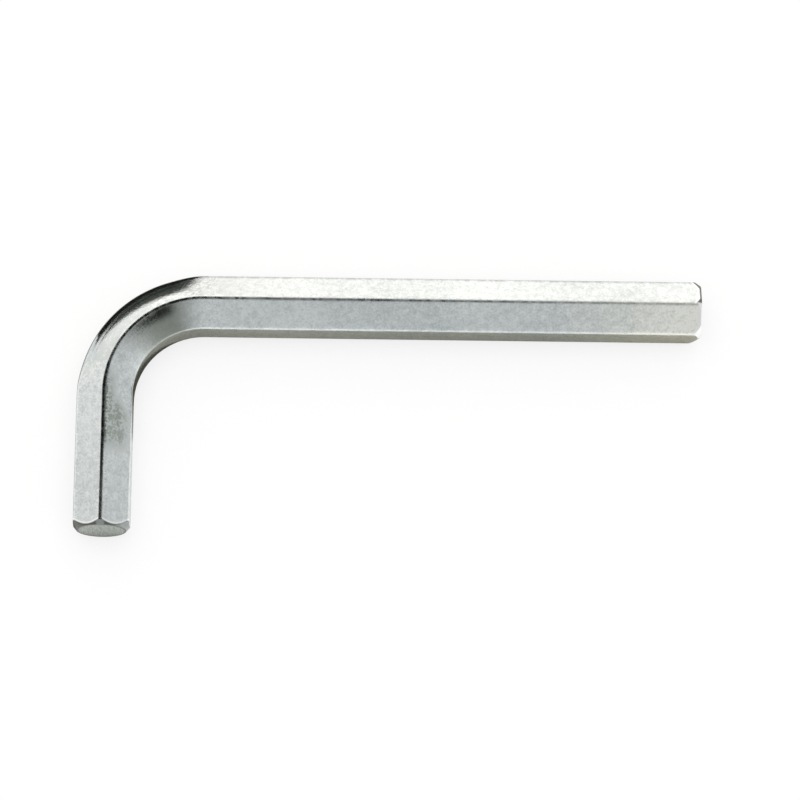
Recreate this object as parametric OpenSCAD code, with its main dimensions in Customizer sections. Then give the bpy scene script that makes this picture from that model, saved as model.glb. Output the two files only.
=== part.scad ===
// L-shaped hexagon key, bent from one length of drawn bar.
// It lies on the ridge that runs along the underside of both arms.

/* [Bar] */
// Distance across the flats of the hexagon bar
across_flats = 12; // [8:0.5:16]
// Radius that drawing leaves on the six ridges
ridge_r = 1.2; // [0.3:0.1:1.5]

/* [Arms] */
// Length of the long arm, measured over the outside of the short arm
long_arm = 134; // [110:0.5:180]
// Length of the short arm, measured over the outside of the long arm
short_arm = 56.5; // [50:0.5:90]

/* [Bend] */
// Inside radius of the bend
bend_inside_r = 15; // [8:0.5:20]

/* [Tips] */
// How far both tips are turned off centre, towards the upper ridge
tip_shift = 0.7; // [0:0.1:1]
// How far the short tip's end face stands in from the flats, before that shift
short_inset = 0.7; // [0.3:0.1:1.2]
// Angle between the short tip's chamfer and the axis of the arm
short_chamfer_angle = 40; // [30:1:55]
// How far the long tip's end face stands in from the flats, before that shift
long_inset = 0.4; // [0.2:0.1:1.2]
// Angle between the long tip's chamfer and the axis of the arm
long_chamfer_angle = 32; // [30:1:55]

/* [Hidden] */
$fn = 96;

// The hexagon: flats left and right, one ridge up and one down.
ridges = 6;
ridge_step = 360 / ridges;
flat_r = across_flats / 2;
sharp_r = flat_r / cos(ridge_step / 2);
ridge_centre_r = sharp_r - ridge_r / cos(ridge_step / 2);
bar_half_height = ridge_centre_r + ridge_r;

// The bend: its centre, and the axis of the bar round it.
bend_axis_r = bend_inside_r + flat_r;
bend_x = -long_arm / 2 + flat_r + bend_axis_r;
bend_y = short_arm / 2 - flat_r - bend_axis_r;

// The straight lengths that are left between the bend and each tip.
long_straight = long_arm - flat_r - bend_axis_r;
short_straight = short_arm - flat_r - bend_axis_r;

// The turning envelope is wider than the bar, so that only its cone cuts.
envelope_r = sharp_r + tip_shift + 1;

// A point at a distance and an angle from the bar's axis.
function polar(r, angle) = [r * cos(angle), r * sin(angle)];

// Where the two flats beside a ridge run into its rounding.
function ridge_tangents(angle) = [
    polar(ridge_centre_r, angle) + polar(ridge_r, angle - ridge_step / 2),
    polar(ridge_centre_r, angle) + polar(ridge_r, angle + ridge_step / 2)
];

// Section of the drawn bar, with its ridges rounded.
module bar_section() {
    ridge_angles = [for (i = [0 : ridges - 1]) 90 + i * ridge_step];
    polygon([for (a = ridge_angles) each ridge_tangents(a)]);
    for (a = ridge_angles)
        translate(polar(ridge_centre_r, a))
            circle(r = ridge_r);
}

// A straight length of bar up the Z axis, its far end turned to a chamfer.
module straight_arm(length, inset, chamfer_angle) {
    face_r = flat_r - inset;
    cone_length = (envelope_r - face_r) / tan(chamfer_angle);
    intersection() {
        linear_extrude(height = length)
            bar_section();
        translate([0, tip_shift, 0])
            rotate_extrude()
                polygon([
                    [0, -1],
                    [envelope_r, -1],
                    [envelope_r, length - cone_length],
                    [face_r, length],
                    [0, length]
                ]);
    }
}

// The quarter turn of bar between the two arms.
module bend() {
    rotate([0, 0, 90])
        rotate_extrude(angle = 90)
            translate([bend_axis_r, 0])
                bar_section();
}

// The whole key, one piece of bar.
module hex_key() {
    color([0.74, 0.76, 0.77])
        translate([bend_x, bend_y, bar_half_height]) {
            bend();
            translate([0, bend_axis_r, 0])
                rotate([90, 0, 90])
                    straight_arm(long_straight, long_inset, long_chamfer_angle);
            translate([-bend_axis_r, 0, 0])
                rotate([90, 0, 0])
                    straight_arm(short_straight, short_inset, short_chamfer_angle);
        }
}

hex_key();
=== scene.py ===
import math

import bmesh
import bpy
from mathutils import Matrix, Vector


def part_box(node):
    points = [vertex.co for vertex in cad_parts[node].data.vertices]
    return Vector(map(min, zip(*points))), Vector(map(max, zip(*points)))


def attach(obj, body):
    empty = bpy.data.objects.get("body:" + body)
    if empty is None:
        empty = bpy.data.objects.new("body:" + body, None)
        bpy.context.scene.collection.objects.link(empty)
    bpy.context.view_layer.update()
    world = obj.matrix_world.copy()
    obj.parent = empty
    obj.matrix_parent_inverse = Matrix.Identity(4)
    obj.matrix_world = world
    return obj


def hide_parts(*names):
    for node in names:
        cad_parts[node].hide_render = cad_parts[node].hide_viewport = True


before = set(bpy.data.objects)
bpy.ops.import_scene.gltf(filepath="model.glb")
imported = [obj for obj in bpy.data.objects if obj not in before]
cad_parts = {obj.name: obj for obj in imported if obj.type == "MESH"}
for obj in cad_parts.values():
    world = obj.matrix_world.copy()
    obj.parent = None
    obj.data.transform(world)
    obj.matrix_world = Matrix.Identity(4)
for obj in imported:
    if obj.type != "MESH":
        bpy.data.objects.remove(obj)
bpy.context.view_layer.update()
print("frame loaded")


# Node trees, written as Python

class Wire:
    # one output socket; maths on it adds Math nodes to its tree
    def __init__(self, plan, socket):
        self.plan = plan
        self.socket = socket

    def calc(self, operation, *values):
        return self.plan.add("ShaderNodeMath", {"operation": operation}, dict(enumerate(values)))

    def __add__(self, other):
        return self.calc("ADD", self, other)

    def __radd__(self, other):
        return self.calc("ADD", other, self)

    def __sub__(self, other):
        return self.calc("SUBTRACT", self, other)

    def __rsub__(self, other):
        return self.calc("SUBTRACT", other, self)

    def __mul__(self, other):
        return self.calc("MULTIPLY", self, other)

    def __rmul__(self, other):
        return self.calc("MULTIPLY", other, self)

    def __truediv__(self, other):
        return self.calc("DIVIDE", self, other)

    def __pow__(self, other):
        return self.calc("POWER", self, other)

    def floor(self):
        return self.calc("FLOOR", self)

    def round(self):
        return self.calc("ROUND", self)

    def sin(self):
        return self.calc("SINE", self)

    def cos(self):
        return self.calc("COSINE", self)

    def tan(self):
        return self.calc("TANGENT", self)

    def root(self):
        return self.calc("SQRT", self)

    def between(self, low, high):
        return self.calc("MINIMUM", self.calc("MAXIMUM", self, low), high)

    def rise(self, low, high):  # 0 below low, 1 above high, smooth between
        part = ((self - low) / (high - low)).between(0, 1)
        return part * part * (3 - part * 2)

    def also(self, name):  # another output of the same node
        return Wire(self.plan, self.plan.find(self.socket.node.outputs, name))


class Plan:
    # a node tree, and the one way to add a node to it
    def __init__(self, tree):
        self.tree = tree

    def add(self, kind, settings=None, sockets=None, out=0):
        node = self.tree.nodes.new(kind)
        for name, value in (settings or {}).items():
            setattr(node, name, value)
        for name, value in (sockets or {}).items():
            self.join(value, self.find(node.inputs, name))
        return Wire(self, self.find(node.outputs, out)) if node.outputs else node

    def find(self, sockets, name):
        if isinstance(name, int):
            return sockets[name]
        return next(socket for socket in sockets if socket.name == name and socket.enabled)

    def join(self, value, socket):
        if isinstance(value, list):
            for wire in value:
                self.tree.links.new(wire.socket, socket)
        elif isinstance(value, Wire):
            self.tree.links.new(value.socket, socket)
        else:
            socket.default_value = value


# The bar: a hexagon with rounded ridges, run along both arms and round the bend

hexKey = {
    "acrossFlats": 0.012,
    "ridgeRadius": 0.0012,
    "insideBend": 0.015,
    "bendRounding": 0.003,  # how much rounder the outer ridges get where the bar is stretched
    "bendCrown": 0.00016,  # how far the flats swell there
    "bendEase": 0.3,  # over how much of the turn that comes and goes, in radians
    "tipShift": 0.0007,  # both tips are turned off centre, towards the upper ridge
    "shortInset": 0.0007,
    "shortChamferAngle": math.radians(40),  # from the axis of the arm
    "longInset": 0.0004,
    "longChamferAngle": math.radians(32),
    "ridgeColumns": 8,
    "flatColumns": 12,
    "barRings": 241,
    "cornerRings": 4,
    "faceRings": 8,
    "edgeBreak": 0.00012,  # the least chamfer, where the turning misses a flat
    "edgeRounding": 0.0001,
}

sixth = math.pi / 3
halfSixth = math.pi / 6


def barSection(size, column, bendShare):
    # a point of the section: how far across (outwards in the bend) and how far up
    ridgeColumns = hexKey["ridgeColumns"]
    flatColumns = hexKey["flatColumns"]
    side = ((column + 0.5) / (ridgeColumns + flatColumns)).floor()
    step = column - side * (ridgeColumns + flatColumns)
    arcPart = (step / ridgeColumns).between(0, 1)
    flatPart = ((step - ridgeColumns) / flatColumns).between(0, 1)
    flatPart = 0.5 - (flatPart * math.pi).cos() * 0.5  # closer columns beside the ridges
    ridgeAngle = side * sixth + math.pi / 2
    arcAngle = ridgeAngle + (arcPart - 0.5) * sixth

    def radiusAt(angle):
        outward = (angle.cos() / math.cos(halfSixth)).between(0, 1)
        return size["ridgeRadius"] + size["bendRounding"] * outward * outward * bendShare

    radius = radiusAt(ridgeAngle)
    sharpRadius = size["acrossFlats"] * (0.5 / math.cos(halfSixth))
    flatWidth = sharpRadius - (radius + radiusAt(ridgeAngle + sixth)) * math.tan(halfSixth)
    ridgeCentre = sharpRadius - radius / math.cos(halfSixth)
    run = flatPart * flatWidth
    out = radius + size["bendCrown"] * bendShare * flatPart * (1 - flatPart) * 4
    across = ridgeCentre * ridgeAngle.cos() + out * arcAngle.cos() - run * arcAngle.sin()
    up = ridgeCentre * ridgeAngle.sin() + out * arcAngle.sin() + run * arcAngle.cos()
    return across, up


def bendTurn(size, along):
    return ((along - size["shortStraight"]) / size["bendRadius"]).between(0, math.pi / 2)


def barPlace(plan, size, along, across, up):
    # along is measured on the bar's axis, from the tip of the short arm
    turn = bendTurn(size, along)
    straight = along - size["shortStraight"] - turn * size["bendRadius"]
    reach = across + size["bendRadius"]
    x = size["bendX"] - turn.cos() * reach + turn.sin() * straight
    y = size["bendY"] + turn.sin() * reach + turn.cos() * straight
    return plan.add("ShaderNodeCombineXYZ", None, {"X": x, "Y": y, "Z": up + size["halfHeight"]})


def tipCorners(size, tip, across, up):
    # the two corners of a column's outline at the tip: how far out from the cone's axis the
    # chamfer starts, how far back that is, and how far out the end face begins
    offAxis = up - size["tipShift"]
    distance = (across * across + offAxis * offAxis).root()
    depth = (distance - size[tip + "FaceRadius"]) / size[tip + "ChamferAngle"].tan()
    depth = depth.calc("MAXIMUM", depth, hexKey["edgeBreak"])
    rim = distance.calc("MINIMUM", distance - hexKey["edgeBreak"], size[tip + "FaceRadius"])
    return distance, depth, rim


def barGrid(plan, rings):
    # a flat grid that counts rings along X and columns along Y
    columns = 6 * (hexKey["ridgeColumns"] + hexKey["flatColumns"])
    grid = plan.add("GeometryNodeMeshGrid", None, {
        "Size X": float(rings - 1), "Size Y": float(columns),
        "Vertices X": rings, "Vertices Y": columns + 1})
    spot = plan.add("ShaderNodeSeparateXYZ", None, {0: plan.add("GeometryNodeInputPosition")})
    ring = (spot + (rings - 1) / 2).round()
    column = (spot.also("Y") + columns / 2).round()
    return grid, ring, column


def shapeGrid(plan, size, grid, along, across, up):
    # keeps the straight bar's coordinates for the finish, then puts each point in its place
    straight = plan.add("ShaderNodeCombineXYZ", None, {"X": along, "Y": across, "Z": up})
    grid = plan.add("GeometryNodeStoreNamedAttribute", {"data_type": "FLOAT_VECTOR", "domain": "POINT"},
                    {"Geometry": grid, "Name": "straightBar", "Value": straight})
    place = barPlace(plan, size, along, across, up)
    return plan.add("GeometryNodeSetPosition", None, {"Geometry": grid, "Position": place})


def straightRun(plan, size):
    rings = hexKey["barRings"]
    grid, ring, column = barGrid(plan, rings)
    across, up = barSection(size, column, 0)
    nearDepth = tipCorners(size, "short", across, up)[1] + hexKey["edgeRounding"]
    farDepth = tipCorners(size, "long", across, up)[1] + hexKey["edgeRounding"]
    along = nearDepth + ring / (rings - 1) * (size["barLength"] - nearDepth - farDepth)
    turn = bendTurn(size, along)
    bendShare = turn.rise(0, hexKey["bendEase"]) * (math.pi / 2 - turn).rise(0, hexKey["bendEase"])
    across, up = barSection(size, column, bendShare)
    return shapeGrid(plan, size, grid, along, across, up)


def turnedTip(plan, size, tip):
    # over a rounded corner, down the chamfer, over the next corner and in across the end face
    cornerRings = hexKey["cornerRings"]
    faceRings = hexKey["faceRings"]
    grid, ring, column = barGrid(plan, 2 * cornerRings + faceRings + 2)
    across, up = barSection(size, column, 0)
    distance, depth, rim = tipCorners(size, tip, across, up)
    slant = ((distance - rim) * (distance - rim) + depth * depth).root()
    soft = slant.calc("MINIMUM", slant * 0.45, hexKey["edgeRounding"])
    inward = (distance - rim) / slant * soft
    forward = depth / slant * soft
    first = (ring / cornerRings).between(0, 1)
    second = ((ring - cornerRings - 1) / cornerRings).between(0, 1)
    crossed = (ring - cornerRings).between(0, 1)
    facePart = ((ring - 2 * cornerRings - 1) / faceRings).between(0, 1)

    outerReach = distance - inward * first * first
    outerDepth = depth + hexKey["edgeRounding"] * (1 - first) * (1 - first) - forward * first * first
    innerReach = rim + inward * (1 - second) * (1 - second) - hexKey["edgeRounding"] * second * second
    innerDepth = forward * (1 - second) * (1 - second)
    reach = (outerReach + (innerReach - outerReach) * crossed) * (1 - facePart)
    depth = outerDepth + (innerDepth - outerDepth) * crossed
    along = size["barLength"] - depth if tip == "long" else depth
    share = reach / distance
    shift = size["tipShift"]
    return shapeGrid(plan, size, grid, along, across * share, shift + (up - shift) * share)


def keyTree():
    tree = bpy.data.node_groups.new("hexKeyBar", "GeometryNodeTree")
    plan = Plan(tree)
    names = list(keySizes())
    for name in names:
        tree.interface.new_socket(name=name, in_out="INPUT", socket_type="NodeSocketFloat")
    tree.interface.new_socket(name="finish", in_out="INPUT", socket_type="NodeSocketMaterial")
    tree.interface.new_socket(name="Geometry", in_out="OUTPUT", socket_type="NodeSocketGeometry")
    given = plan.add("NodeGroupInput")
    size = {name: given.also(name) for name in names}
    parts = [straightRun(plan, size), turnedTip(plan, size, "short"), turnedTip(plan, size, "long")]
    whole = plan.add("GeometryNodeJoinGeometry", None, {"Geometry": parts})
    whole = plan.add("GeometryNodeMergeByDistance", None, {"Geometry": whole, "Distance": 1e-6})
    whole = plan.add("GeometryNodeRealizeInstances", None, {"Geometry": whole})
    whole = plan.add("GeometryNodeSetMaterial", None, {"Geometry": whole, "Material": given.also("finish")})
    plan.add("NodeGroupOutput", None, {"Geometry": whole})
    return tree


def keySizes():
    # the driving sizes, and what follows from them and from the frame
    low, high = [Vector(corner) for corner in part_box("hex_key")]
    flatRadius = hexKey["acrossFlats"] / 2
    bendRadius = hexKey["insideBend"] + flatRadius
    elbow = flatRadius + bendRadius
    shortStraight = high.y - low.y - elbow
    longStraight = high.x - low.x - elbow
    sizes = {name: hexKey[name] for name in ("acrossFlats", "ridgeRadius", "bendRounding", "bendCrown", "tipShift")}
    for tip in ("short", "long"):
        sizes[tip + "FaceRadius"] = flatRadius - hexKey[tip + "Inset"]
        sizes[tip + "ChamferAngle"] = hexKey[tip + "ChamferAngle"]
    sizes["bendRadius"] = bendRadius
    sizes["shortStraight"] = shortStraight
    sizes["barLength"] = shortStraight + bendRadius * math.pi / 2 + longStraight
    sizes["bendX"] = low.x + elbow
    sizes["bendY"] = high.y - elbow
    sizes["halfHeight"] = (high.z - low.z) / 2
    return sizes


def solidMesh(piece, name):
    # what the modifiers make, as a plain closed mesh that faces outwards
    mesh = bpy.data.meshes.new_from_object(piece.evaluated_get(bpy.context.evaluated_depsgraph_get()))
    mesh.name = name
    form = bmesh.new()
    form.from_mesh(mesh)
    bmesh.ops.remove_doubles(form, verts=form.verts, dist=1e-6)
    bmesh.ops.recalc_face_normals(form, faces=form.faces)
    for face in form.faces:
        face.smooth = True
    form.to_mesh(mesh)
    form.free()
    return mesh


def makeKey(finish):
    piece = bpy.data.objects.new("drawnBar", bpy.data.meshes.new("drawnBarStart"))
    bpy.context.scene.collection.objects.link(piece)
    bar = piece.modifiers.new("bar", "NODES")
    tree = keyTree()
    bar.node_group = tree
    values = dict(keySizes(), finish=finish)
    for socket in tree.interface.items_tree:
        if socket.in_out == "INPUT":
            bar[socket.identifier] = values[socket.name]
    piece.data = solidMesh(piece, "drawnBar")
    piece.modifiers.clear()
    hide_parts("hex_key")
    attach(piece, "root")
    return piece


# The finish: satin plate over drawn steel, smoother where it was bent, greyer on the cut ends, with painted shade,
# painted reflections and painted highlights laid on it
# Lengths here are in millimetres of the straight bar

plate = {
    "paleShade": (0.83, 0.87, 0.872, 1),
    "deepShade": (0.57, 0.613, 0.62, 1),
    "paintedLightBeside": 0.3,  # painted light: how much further to the pale shade on the long arm beside the bend
    "paintedShadeOuter": 0.6,  # painted shade: how much less far on the outer side of the bend
    "endFrom": 132.0,
    "paintedLightEnd": 0.2,  # painted light: how much further from there to the long tip, on the inner side
    "paintedLightCast": (1.27, 1.21, 1.12, 1),  # times the shades, a painted lighter and warmer cast there
    "paintedReflectionCoreShade": (0.05, 0.055, 0.045, 1),  # painted shade, the darkest part of the dark reflection on the inner side of the bend, beside the ridge
    "spotShare": 0.85,
    "spotAt": 53.0,
    "spotLong": 3.5,  # to either side of that
    "spotWide": 3.5,
    "roughness": 0.3,
    "roughnessSpread": 0.12,
    "grainSize": 2.2,  # grains to the millimetre
    "mottleSize": 0.8,
    "cloudSize": 0.07,
    "bumpHeight": 0.000025,
    "ridgeFrom": 6.4,  # from the bar's axis
    "ridgeTo": 6.7,
    "ridgeRoughness": 0.15,
    "beadRoughness": 0.12,  # more, on the duller beads along the ridges
    "beadsPerMm": 0.9,
    "paintedEdgeLineShade": (0.35, 0.36, 0.34, 1),  # painted shade, a dark reflected line along the outer upper ridge of the long arm
    "paintedEdgeLineShare": 0.4,
    "dullRoughness": 0.22,  # more, by the long tip
    "bendRoughness": 0.15,
    "bendSoftness": 4.0,
    "paintedReflectionShade": (0.2, 0.215, 0.185, 1),  # painted shade, a dark reflection on the inner side of the bend
    "paintedReflectionShare": 0.85,
    "paintedReflectionFrom": 36.0,
    "paintedReflectionTo": 63.5,
    "scuffShade": (0.34, 0.38, 0.34, 1),  # left by the bending tool, on the inner side of the short arm
    "scuffFrom": 15.0,
    "scuffTo": 36.0,
    "scuffWide": 6.5,
    "paintedRidgeLineShade": (0.06, 0.065, 0.06, 1),  # painted shade, a dark reflected line along the upper ridge there, with ragged edges
    "cutShade": (0.3, 0.33, 0.3, 1),
    "cutPaler": (0.5, 0.53, 0.5, 1),
    "cutRoughness": 0.45,
    # painted shade on the chamfers and round the rims of the end faces
    "chamferShade": (0.14, 0.148, 0.135, 1),
    "shortBand": 0.3,  # how far the painted shade of the chamfer runs over onto the flats
    "longBand": 0.5,
    "footLight": 0.4,  # how much less painted shade the short tip has at the feet of the ridges
    "innerLight": 0.35,  # and on its inner side
    "rimWide": 0.7,
    # painted highlight on the arrises of the tips
    "arrisHighlightShade": (0.97, 0.98, 0.97, 1),
}


def satinPlate(size):
    finish = bpy.data.materials.new("satinPlate")
    finish.use_nodes = True
    plan = Plan(finish.node_tree)
    finish.node_tree.nodes.clear()
    place = plan.add("ShaderNodeAttribute", {"attribute_name": "straightBar"}).also("Vector")
    place = plan.add("ShaderNodeVectorMath", {"operation": "SCALE"}, {0: place, "Scale": 1000.0})
    along = plan.add("ShaderNodeSeparateXYZ", None, {0: place})
    across = along.also("Y")
    up = along.also("Z")
    inner = across * -1
    fromAxis = (across * across + up * up).root()

    def noise(scale, detail, roughness=0.5, stretch=(1, 1, 1)):
        grid = plan.add("ShaderNodeMapping", None, {"Vector": place, "Scale": stretch})
        return plan.add("ShaderNodeTexNoise", None, {
            "Vector": grid, "Scale": scale, "Detail": detail, "Roughness": roughness})

    def blend(share, first, second):
        return plan.add("ShaderNodeMix", {"data_type": "RGBA"}, {
            "Factor": share, "A": first, "B": second}, "Result")

    # where things are
    barLength = size["barLength"] * 1000
    bendFrom = size["shortStraight"] * 1000
    bendTo = bendFrom + size["bendRadius"] * 500 * math.pi
    soft = plate["bendSoftness"]
    bent = along.rise(bendFrom - soft, bendFrom + soft) * (1 - along.rise(bendTo - soft, bendTo + soft))
    ridge = fromAxis.rise(plate["ridgeFrom"], plate["ridgeTo"])

    # the cut tips: how far from the end face, from its turned axis and from the cone of the chamfer
    offAxis = up - size["tipShift"] * 1000
    fromTurned = (across * across + offAxis * offAxis).root()

    def tipMarks(tip, fromTip, wide):
        outside = fromTurned - size[tip + "FaceRadius"] * 1000
        face = 1 - fromTip.rise(0.01, 0.04)
        fromEdge = fromTip - outside.between(0, 9) / math.tan(size[tip + "ChamferAngle"])
        band = (1 - face) * (1 - fromEdge.rise(wide * 0.5, wide))
        arrisHighlight = fromEdge.rise(wide, wide + 0.1) * (1 - fromEdge.rise(wide + 0.2, wide + 0.5))
        rim = face * outside.rise(-plate["rimWide"], 0)
        return face, band, arrisHighlight, rim

    shortFace, shortBand, shortArrisHighlight, shortRim = tipMarks("short", along, plate["shortBand"])
    longFace, longBand, longArrisHighlight, longRim = tipMarks("long", barLength - along, plate["longBand"])
    foot = 1 - (across * across).rise(0.1, 1.2)
    shortBand = shortBand * (1 - foot * plate["footLight"]) * (1 - inner.rise(2, 5) * plate["innerLight"])
    cut = shortFace + longFace
    # painted shade: the chamfers and the rims of the end faces, on the long tip only on its upper side
    dark = (shortBand + shortRim + (longBand + longRim) * across.rise(0, 0.6)).between(0, 1)
    # painted highlight: the arrises, and the lower side of the long tip's chamfer
    arrisHighlight = (shortArrisHighlight + longArrisHighlight + longBand * (1 - across.rise(0, 0.6))).between(0, 1) * (1 - cut)

    grain = noise(plate["grainSize"], 4.0, 0.6)
    mottle = noise(plate["mottleSize"], 3.0)
    cloud = noise(plate["cloudSize"], 2.0)
    drawn = noise(1.0, 2.0, 0.5, (0.08, 5, 5))
    sawn = noise(1.0, 3.0, 0.6, (1, 3, 0.5))
    beads = noise(1.0, 1.0, 0.5, (plate["beadsPerMm"], 0.1, 0.1)).rise(0.35, 0.65)
    beads = beads * along.rise(plate["scuffFrom"], plate["scuffFrom"] + 5)
    # painted shade: a dashed dark line along the outer upper ridge of the long arm
    paintedEdgeLine = ridge * along.rise(bendTo, bendTo + 5) * across.rise(4, 5) * up.rise(0, 1)
    paintedEdgeLine = paintedEdgeLine * (0.25 + beads * 0.75) * plate["paintedEdgeLineShare"]
    # painted shade: a dark reflection on the inner upper flat of the bend
    paintedReflection = along.rise(plate["paintedReflectionFrom"], plate["paintedReflectionFrom"] + 14)
    paintedReflection = paintedReflection * (1 - along.rise(plate["paintedReflectionTo"] - 10, plate["paintedReflectionTo"])) * plate["paintedReflectionShare"]
    paintedReflection = paintedReflection * inner.rise(0, 0.4) * up.rise(2.8, 3.6)
    scuffed = along.rise(plate["scuffFrom"], plate["scuffFrom"] + 5)
    scuffed = scuffed * (1 - along.rise(plate["scuffTo"] - 5, plate["scuffTo"])) * up.rise(0, 1)
    scuffWide = plate["scuffWide"] - along.rise(24, 30) * 3
    scuff = scuffed * inner.rise(0, 0.4) * (1 - inner.rise(scuffWide - 3, scuffWide))
    scuff = scuff * (0.15 + (mottle + grain * 1.5).rise(1.05, 1.4) * 0.8)
    # painted shade: a ragged dark line along the upper ridge, over the scuffed part
    paintedRidgeLine = scuffed * (fromAxis + (grain - 0.5) * 0.7).rise(6.48, 6.66) * inner.rise(-0.5, 0) * (1 - inner.rise(1.2, 1.6))
    shade = 0.5 + (mottle - 0.5) * 1.5 + (grain - 0.5) * 2.2 + (cloud - 0.5) * 0.8
    # painted light: the long arm beside the bend is made paler
    paintedLightBesideBend = along.rise(bendTo - soft, bendTo + soft) * (1 - along.rise(bendTo + 10, bendTo + 50))
    # painted shade: the outer side of the bend is made darker, for a duller reflection there
    paintedShadeOuterBend = along.rise(33, 38) * (1 - along.rise(48, 54)) * across.rise(0, 1)
    # painted light: lighter and warmer on the inner side by the long tip
    paintedLightInnerEnd = along.rise(plate["endFrom"], barLength) * inner.rise(-1, 1)
    shade = shade + paintedLightBesideBend * plate["paintedLightBeside"] - paintedShadeOuterBend * plate["paintedShadeOuter"]
    shade = shade + paintedLightInnerEnd * plate["paintedLightEnd"]
    colour = blend(shade.between(0, 1), plate["deepShade"], plate["paleShade"])
    colour = plan.add("ShaderNodeMix", {"data_type": "RGBA", "blend_type": "MULTIPLY", "clamp_result": True}, {
        "Factor": paintedLightInnerEnd, "A": colour, "B": plate["paintedLightCast"]}, "Result")
    # painted shade: the dark core of the painted reflection, beside the ridge
    spotStart = plate["spotAt"] - plate["spotLong"]
    spotEnd = plate["spotAt"] + plate["spotLong"]
    spot = along.rise(spotStart, spotStart + 3) * (1 - along.rise(spotEnd - 3, spotEnd)) * plate["spotShare"]
    spot = spot * inner.rise(0.1, 0.7) * (1 - inner.rise(plate["spotWide"] - 2.5, plate["spotWide"]))
    colour = blend(paintedEdgeLine, colour, plate["paintedEdgeLineShade"])
    colour = blend(paintedReflection, colour, plate["paintedReflectionShade"])
    colour = blend(spot * up.rise(2.8, 3.6), colour, plate["paintedReflectionCoreShade"])
    colour = blend(scuff, colour, plate["scuffShade"])
    colour = blend(paintedRidgeLine * 0.7, colour, plate["paintedRidgeLineShade"])
    colour = blend(arrisHighlight, colour, plate["arrisHighlightShade"])
    colour = blend(cut, colour, blend(sawn.rise(0.3, 0.7), plate["cutShade"], plate["cutPaler"]))
    colour = blend(dark, colour, plate["chamferShade"])
    roughness = plate["roughness"] + (plate["bendRoughness"] - plate["roughness"]) * bent
    dull = along.rise(bendTo - 5, bendTo + 10) * 0.6 + along.rise(bendTo + 50, barLength) * 0.4
    dull = dull + (1 - along.rise(8, 18)) * 0.35
    ridgeRoughness = plate["ridgeRoughness"] + plate["beadRoughness"] * beads + plate["dullRoughness"] * dull
    roughness = roughness + (ridgeRoughness - roughness) * ridge
    roughness = roughness + (plate["cutRoughness"] - roughness) * cut
    roughness = roughness + (grain - 0.5) * plate["roughnessSpread"]
    height = grain * 0.7 + mottle * 0.5 + drawn * 0.3
    bump = plan.add("ShaderNodeBump", None, {"Strength": 1.0, "Distance": plate["bumpHeight"], "Height": height})
    shader = plan.add("ShaderNodeBsdfPrincipled", None, {
        "Base Color": colour, "Metallic": 1.0, "Roughness": roughness, "Normal": bump})
    plan.add("ShaderNodeOutputMaterial", None, {"Surface": shader})
    return finish


# The studio: a pale floor, a soft dome, and dark cards that only the metal sees

studio = {
    "floorShade": (0.95, 0.95, 0.95, 1),
    "floorSize": 30.0,
    "whiteForCamera": 0.75,  # how much of the floor is plain white to the camera, and in the metal
    "whiteForMetal": 0.1,
    "domeShade": (0.625, 0.635, 0.635, 1),
    "fillPower": 6.5,
    "fillSize": 1.2,
}

# soft glows on the dome: a broad one behind the key, and a small low one to the front right
glows = [
    {"way": (-0.2, 0.9, 0.25), "shade": (0.88, 0.8, 0.73, 1), "spread": 2},
    {"way": (0.86, -0.46, 0.2), "shade": (0.5, 0.5, 0.49, 1), "spread": 10},
]


def makeFloor():
    mesh = bpy.data.meshes.new("floor")
    half = studio["floorSize"] / 2
    mesh.from_pydata([(-half, -half, 0), (half, -half, 0), (half, half, 0), (-half, half, 0)], [], [(0, 1, 2, 3)])
    floor = bpy.data.objects.new("floor", mesh)
    bpy.context.scene.collection.objects.link(floor)
    paper = bpy.data.materials.new("paleFloor")
    paper.use_nodes = True
    plan = Plan(paper.node_tree)
    paper.node_tree.nodes.clear()
    rays = plan.add("ShaderNodeLightPath")
    white = rays * studio["whiteForCamera"]
    seen = rays.also("Is Glossy Ray") + rays.also("Is Transmission Ray")
    white = white + seen * studio["whiteForMetal"]
    shader = plan.add("ShaderNodeMixShader", None, {
        0: white,
        1: plan.add("ShaderNodeBsdfDiffuse", None, {"Color": studio["floorShade"]}),
        2: plan.add("ShaderNodeEmission", None, {"Strength": 1.0})})
    plan.add("ShaderNodeOutputMaterial", None, {"Surface": shader})
    mesh.materials.append(paper)


def makeDome():
    world = bpy.data.worlds.new("dome")
    world.use_nodes = True
    bpy.context.scene.world = world
    plan = Plan(world.node_tree)
    world.node_tree.nodes.clear()
    way = plan.add("ShaderNodeTexCoord").also("Generated")
    shade = studio["domeShade"]
    for glow in glows:
        axis = tuple(Vector(glow["way"]).normalized())
        near = plan.add("ShaderNodeVectorMath", {"operation": "DOT_PRODUCT"}, {0: way, 1: axis}, "Value")
        shade = plan.add("ShaderNodeMix", {"data_type": "RGBA", "blend_type": "ADD"}, {
            "Factor": near.between(0, 1) ** glow["spread"], "A": shade, "B": glow["shade"]}, "Result")
    light = plan.add("ShaderNodeBackground", None, {"Color": shade})
    plan.add("ShaderNodeOutputWorld", None, {"Surface": light})


# Dark cards hang above and lie on the floor, seen by nothing but the metal; those on the floor are painted shadow

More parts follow.
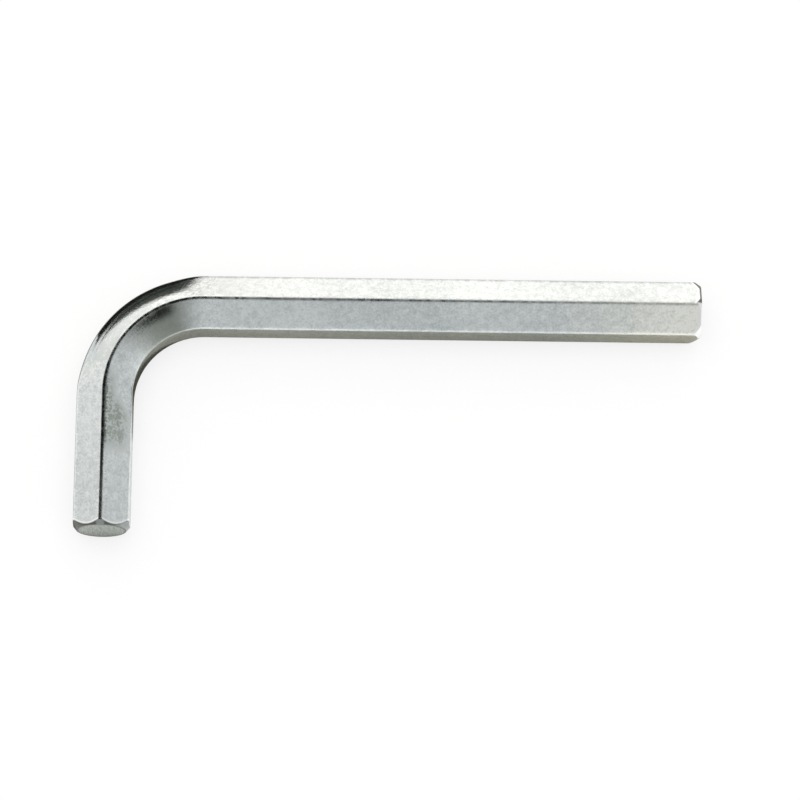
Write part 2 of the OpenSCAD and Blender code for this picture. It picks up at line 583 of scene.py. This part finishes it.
cards = {
    "black": (0.01, 0.012, 0.01, 1),
    "dark": (0.06, 0.065, 0.055, 1),
    # painted shadow, for the card under the key
    "grey": (0.36, 0.35, 0.3, 1),
    "lift": 0.0004,
    "backNear": 0.034,  # from the centre of the bend
    "backFar": 0.26,
    "backHigh": 0.09,  # at the highest of its arched top
    "backLean": 0.6,  # under 1, the arch is highest nearer its first end
    "backFrom": math.radians(90),
    "backTo": math.radians(145),
    "steps": 24,
    "greyWide": 0.015,  # from the bar's axis
    "greyOver": 0.0015,  # past the tips
    "greyNarrow": 0.004,  # from the axis, on the inner side of the short arm
    "greyTaper": 0.01,  # how far below the bend it gets that narrow
    # painted shadow, for the card in the crook of the bend
    "deep": (0.1, 0.1, 0.08, 1),
    "deepNear": 0.0112,  # from the centre of the bend
    "deepFar": 0.016,
    "deepFrom": math.radians(96),
    "deepTo": math.radians(180),
    "leafHigh": 0.45,
    "flagHigh": 0.08,
}

# outlines of the two overhead cards, seen from above: a broad leaf with an arm to the right,
# and a small flag that hangs low over the inside of the bend
leaf = [
    (-0.42, 0.05), (-0.3, -0.04), (-0.12, -0.1), (0.04, -0.13), (0.08, -0.08), (0.08, 0.03),
    (0.27, 0.05), (0.27, 0.125), (0.08, 0.14), (0.07, 0.3), (0.0, 0.38), (-0.16, 0.38),
    (-0.34, 0.3), (-0.42, 0.18)]
flag = [
    (-0.03, -0.013), (-0.022, -0.006), (-0.013, -0.003), (-0.006, -0.013), (-0.01, -0.024),
    (-0.016, -0.026), (-0.023, -0.021)]


def makeCard(name, shade, corners, faces):
    mesh = bpy.data.meshes.new(name)
    mesh.from_pydata(corners, [], faces)
    card = bpy.data.objects.new(name, mesh)
    bpy.context.scene.collection.objects.link(card)
    velvet = bpy.data.materials.new(name)
    velvet.use_nodes = True
    plan = Plan(velvet.node_tree)
    velvet.node_tree.nodes.clear()
    shader = plan.add("ShaderNodeBsdfDiffuse", None, {"Color": cards[shade]})
    plan.add("ShaderNodeOutputMaterial", None, {"Surface": shader})
    mesh.materials.append(velvet)
    card.visible_camera = False
    card.visible_diffuse = False
    card.visible_shadow = False


def strip(name, shade, pairs):
    # a card between two lines of points
    corners = [point for pair in pairs for point in pair]
    faces = [(2 * step, 2 * step + 1, 2 * step + 3, 2 * step + 2) for step in range(len(pairs) - 1)]
    makeCard(name, shade, corners, faces)


def makeCards(size):
    centreX = size["bendX"]
    centreY = size["bendY"]
    steps = cards["steps"]

    def ringPoint(angle, reach, height):
        return centreX + reach * math.cos(angle), centreY + reach * math.sin(angle), height

    # a grey one under the key, a little wider than the key, a painted shadow that only the metal sees
    low = cards["lift"]
    reaches = [size["bendRadius"] + side * cards["greyWide"] for side in (1, -1)]
    longEnd = centreX + size["barLength"] - size["shortStraight"] - size["bendRadius"] * math.pi / 2
    shortEnd = centreY - size["shortStraight"]
    over = cards["greyOver"]
    angles = [math.pi - math.pi / 2 * step / steps for step in range(steps + 1)]
    narrowed = [reaches[0], size["bendRadius"] - cards["greyNarrow"]]
    pairs = [[(centreX - reach, y, low) for reach in narrowed]
             for y in (shortEnd - over, centreY - cards["greyTaper"])]
    pairs += [[ringPoint(angle, reach, low) for reach in reaches] for angle in angles]
    pairs += [[(longEnd + over, centreY + reach, low) for reach in reaches]]
    strip("paintedShadowCard", "grey", pairs)

    # a darker one along the inside of the bend, a painted shadow in the crook, and black ones behind it, one flat and
    # one upright
    def sweep(name):
        start = cards[name + "From"]
        return [start + (cards[name + "To"] - start) * step / steps for step in range(steps + 1)]

    near = cards["deepNear"]
    far = cards["deepFar"]
    pairs = [[ringPoint(angle, far - (far - near) * min(1, 1.5 * step / steps), 2 * low), ringPoint(angle, far, 2 * low)]
             for step, angle in enumerate(sweep("deep"))]
    strip("paintedCreaseShadowCard", "deep", pairs)
    near = cards["backNear"]
    far = cards["backFar"]
    pairs = [[ringPoint(angle, near + (far - near) * max(0, 0.1 - step / steps), 2 * low), ringPoint(angle, far, 2 * low)]
             for step, angle in enumerate(sweep("back"))]
    strip("backCard", "black", pairs)
    arch = [low + cards["backHigh"] * math.sin(math.pi * (step / steps) ** cards["backLean"]) for step in range(steps + 1)]
    pairs = [[ringPoint(angle, far, low), ringPoint(angle, far, high)] for angle, high in zip(sweep("back"), arch)]
    strip("backWall", "dark", pairs)

    makeCard("leafCard", "black", [(x, y, cards["leafHigh"]) for x, y in leaf], [tuple(range(len(leaf)))])
    makeCard("flagCard", "black", [(x, y, cards["flagHigh"]) for x, y in flag], [tuple(range(len(flag)))])


def aimed(spot, target):
    return (Vector(target) - Vector(spot)).to_track_quat("-Z", "Y").to_euler()


def makeLamp(name, spot, target, size, power, inMetal=True):
    lamp = bpy.data.lights.new(name, "AREA")
    lamp.shape = "RECTANGLE"
    lamp.size, lamp.size_y = size
    lamp.energy = power
    holder = bpy.data.objects.new(name, lamp)
    holder.location = spot
    holder.rotation_euler = aimed(spot, target)
    holder.visible_glossy = inMetal
    bpy.context.scene.collection.objects.link(holder)


def makeLights():
    side = studio["fillSize"]
    makeLamp("overheadFill", (0, -0.1, 1.3), (0, 0, 0), (side, side), studio["fillPower"], False)


# The camera, placed as the photograph was taken

view = {
    "aim": (0.0023, 0.0018, 0.0067),
    "distance": 0.9676,
    "azimuth": math.radians(-1.66),
    "elevation": math.radians(73.69),
    "roll": math.radians(2.33),
    "lens": 202.5,
    "sensor": 36,
}


def makeCamera():
    camera = bpy.data.cameras.new("camera")
    camera.lens = view["lens"]
    camera.sensor_width = view["sensor"]
    camera.clip_start = 0.01
    holder = bpy.data.objects.new("camera", camera)
    turn = Matrix.Rotation(view["azimuth"], 4, "Z") @ Matrix.Rotation(math.pi / 2 - view["elevation"], 4, "X")
    turn = turn @ Matrix.Rotation(view["roll"], 4, "Z")
    holder.matrix_world = Matrix.Translation(view["aim"]) @ turn @ Matrix.Translation((0, 0, view["distance"]))
    bpy.context.scene.collection.objects.link(holder)
    bpy.context.scene.camera = holder


makeCamera()
print("camera placed")
makeKey(satinPlate(keySizes()))
print("key made")
makeFloor()
makeCards(keySizes())
makeDome()
makeLights()
print("studio lit")

bpy.context.scene.view_settings.view_transform = "Standard"
